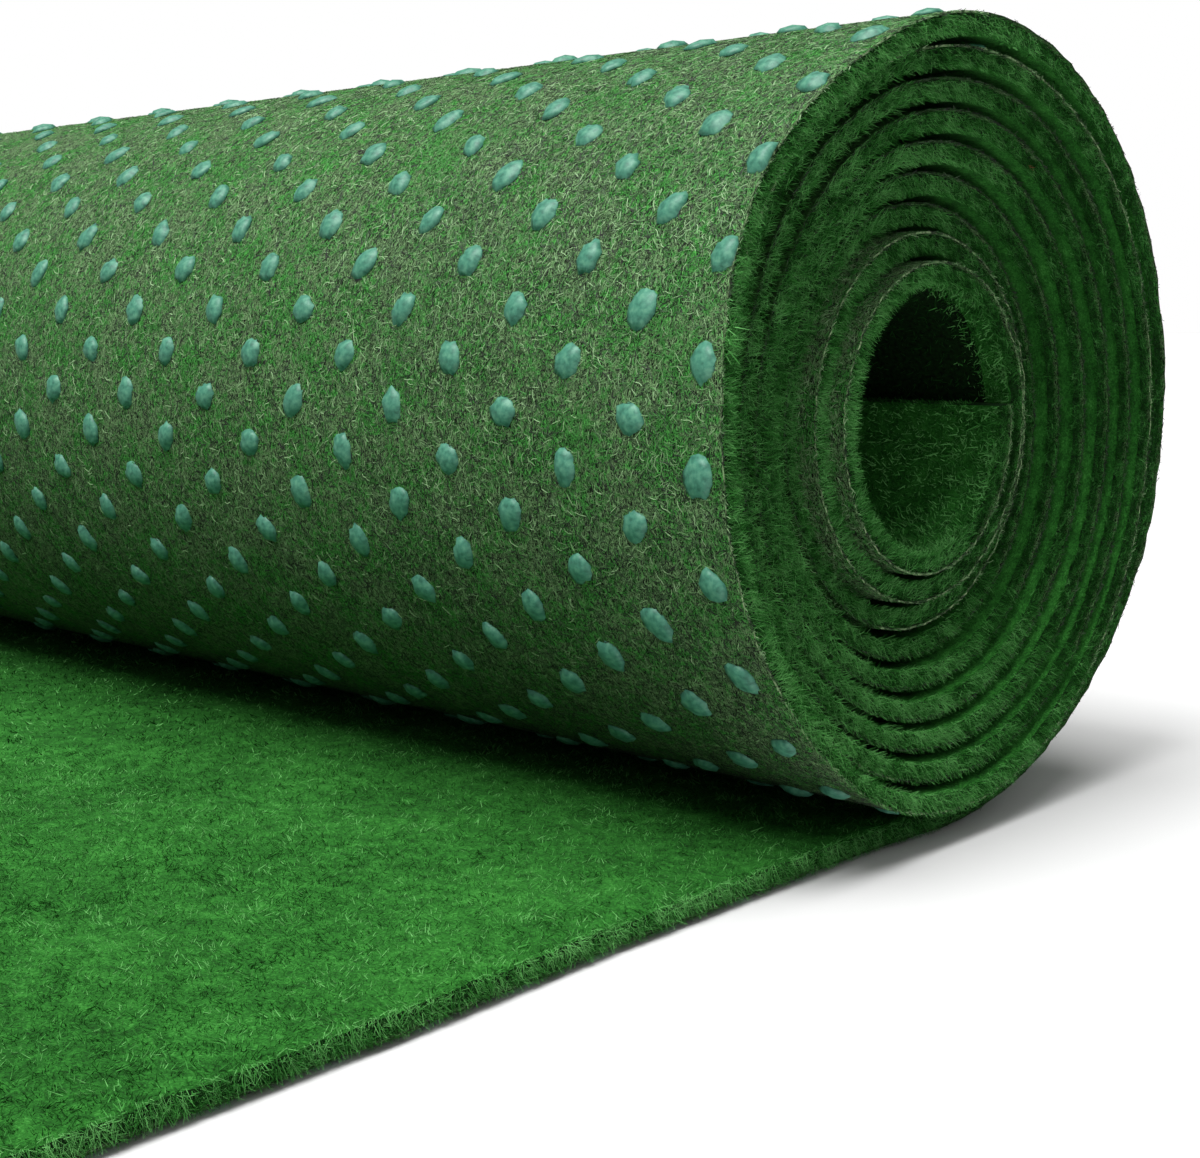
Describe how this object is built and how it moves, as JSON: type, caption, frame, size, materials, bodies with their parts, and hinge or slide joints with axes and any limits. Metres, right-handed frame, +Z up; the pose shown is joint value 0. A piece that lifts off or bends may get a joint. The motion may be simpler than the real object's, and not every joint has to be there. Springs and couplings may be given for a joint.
{
  "type": "studded turf mat roll",
  "caption": "Long strip of needle-felt turf with a studded backing: the free end lies flat and the rest is wound into a roll behind it.",
  "frame": {"origin": "on the floor, under the middle of the whole object", "axes": "+X along the roll, +Y from the free end to the roll, +Z up"},
  "size_m": [1.012, 0.5139, 0.1851],
  "materials": {
    "pile": "needle-felt turf pile",
    "backing": "matted felt backing",
    "studs": "moulded drainage studs"
  },
  "bodies": {
    "free_end": {"free_end_pile": "pile", "free_end_backing": "backing"},
    "flap_3": {"flap_3_pile": "pile", "flap_3_backing": "backing"},
    "flap_2": {"flap_2_pile": "pile", "flap_2_backing": "backing"},
    "flap_1": {"flap_1_pile": "pile", "flap_1_backing": "backing"},
    "bed": {"bed_pile": "pile", "bed_backing": "backing"},
    "bend_1": {"bend_1_pile": "pile", "bend_1_backing": "backing"},
    "bend_2": {"bend_2_pile": "pile", "bend_2_backing": "backing"},
    "bend_3": {"bend_3_pile": "pile", "bend_3_backing": "backing"},
    "bend_4": {"bend_4_pile": "pile", "bend_4_backing": "backing"},
    "bend_5": {"bend_5_pile": "pile", "bend_5_backing": "backing"},
    "bend_6": {"bend_6_pile": "pile", "bend_6_backing": "backing"},
    "bend_7": {"bend_7_pile": "pile", "bend_7_backing": "backing"},
    "bend_8": {"bend_8_pile": "pile", "bend_8_backing": "backing"},
    "roll": {"roll_pile": "pile", "roll_backing": "backing"}
  },
  "joints": [
    {"name": "lift_1", "type": "hinge", "parent": "bed", "child": "flap_1", "pos_m": [0, 0.03791, 0.0063], "axis": [-1, 0, 0], "range_deg": [0, 25]},
    {"name": "lift_2", "type": "hinge", "parent": "flap_1", "child": "flap_2", "pos_m": [0, 0.00591, 0.0063], "axis": [-1, 0, 0], "range_deg": [0, 25]},
    {"name": "lift_3", "type": "hinge", "parent": "flap_2", "child": "flap_3", "pos_m": [0, -0.02609, 0.0063], "axis": [-1, 0, 0], "range_deg": [0, 25]},
    {"name": "lift_4", "type": "hinge", "parent": "flap_3", "child": "free_end", "pos_m": [0, -0.05809, 0.0063], "axis": [-1, 0, 0], "range_deg": [0, 25]},
    {"name": "unroll_1", "type": "hinge", "parent": "bed", "child": "bend_1", "pos_m": [0, 0.17848, 0], "axis": [-1, 0, 0], "range_deg": [0, 20]},
    {"name": "unroll_2", "type": "hinge", "parent": "bend_1", "child": "bend_2", "pos_m": [0, 0.20964, 0.01134], "axis": [-1, 0, 0], "range_deg": [0, 20]},
    {"name": "unroll_3", "type": "hinge", "parent": "bend_2", "child": "bend_3", "pos_m": [0, 0.23495, 0.03257], "axis": [-1, 0, 0], "range_deg": [0, 20]},
    {"name": "unroll_4", "type": "hinge", "parent": "bend_3", "child": "bend_4", "pos_m": [0, 0.2514, 0.06107], "axis": [-1, 0, 0], "range_deg": [0, 20]},
    {"name": "unroll_5", "type": "hinge", "parent": "bend_4", "child": "bend_5", "pos_m": [0, 0.25709, 0.09334], "axis": [-1, 0, 0], "range_deg": [0, 20]},
    {"name": "unroll_6", "type": "hinge", "parent": "bend_5", "child": "bend_6", "pos_m": [0, 0.25142, 0.12549], "axis": [-1, 0, 0], "range_deg": [0, 20]},
    {"name": "unroll_7", "type": "hinge", "parent": "bend_6", "child": "bend_7", "pos_m": [0, 0.23516, 0.15365], "axis": [-1, 0, 0], "range_deg": [0, 20]},
    {"name": "unroll_8", "type": "hinge", "parent": "bend_7", "child": "bend_8", "pos_m": [0, 0.21036, 0.17447], "axis": [-1, 0, 0], "range_deg": [0, 20]},
    {"name": "unroll_9", "type": "hinge", "parent": "bend_8", "child": "roll", "pos_m": [0, 0.18005, 0.1855], "axis": [-1, 0, 0], "range_deg": [0, 20]}
  ]
}
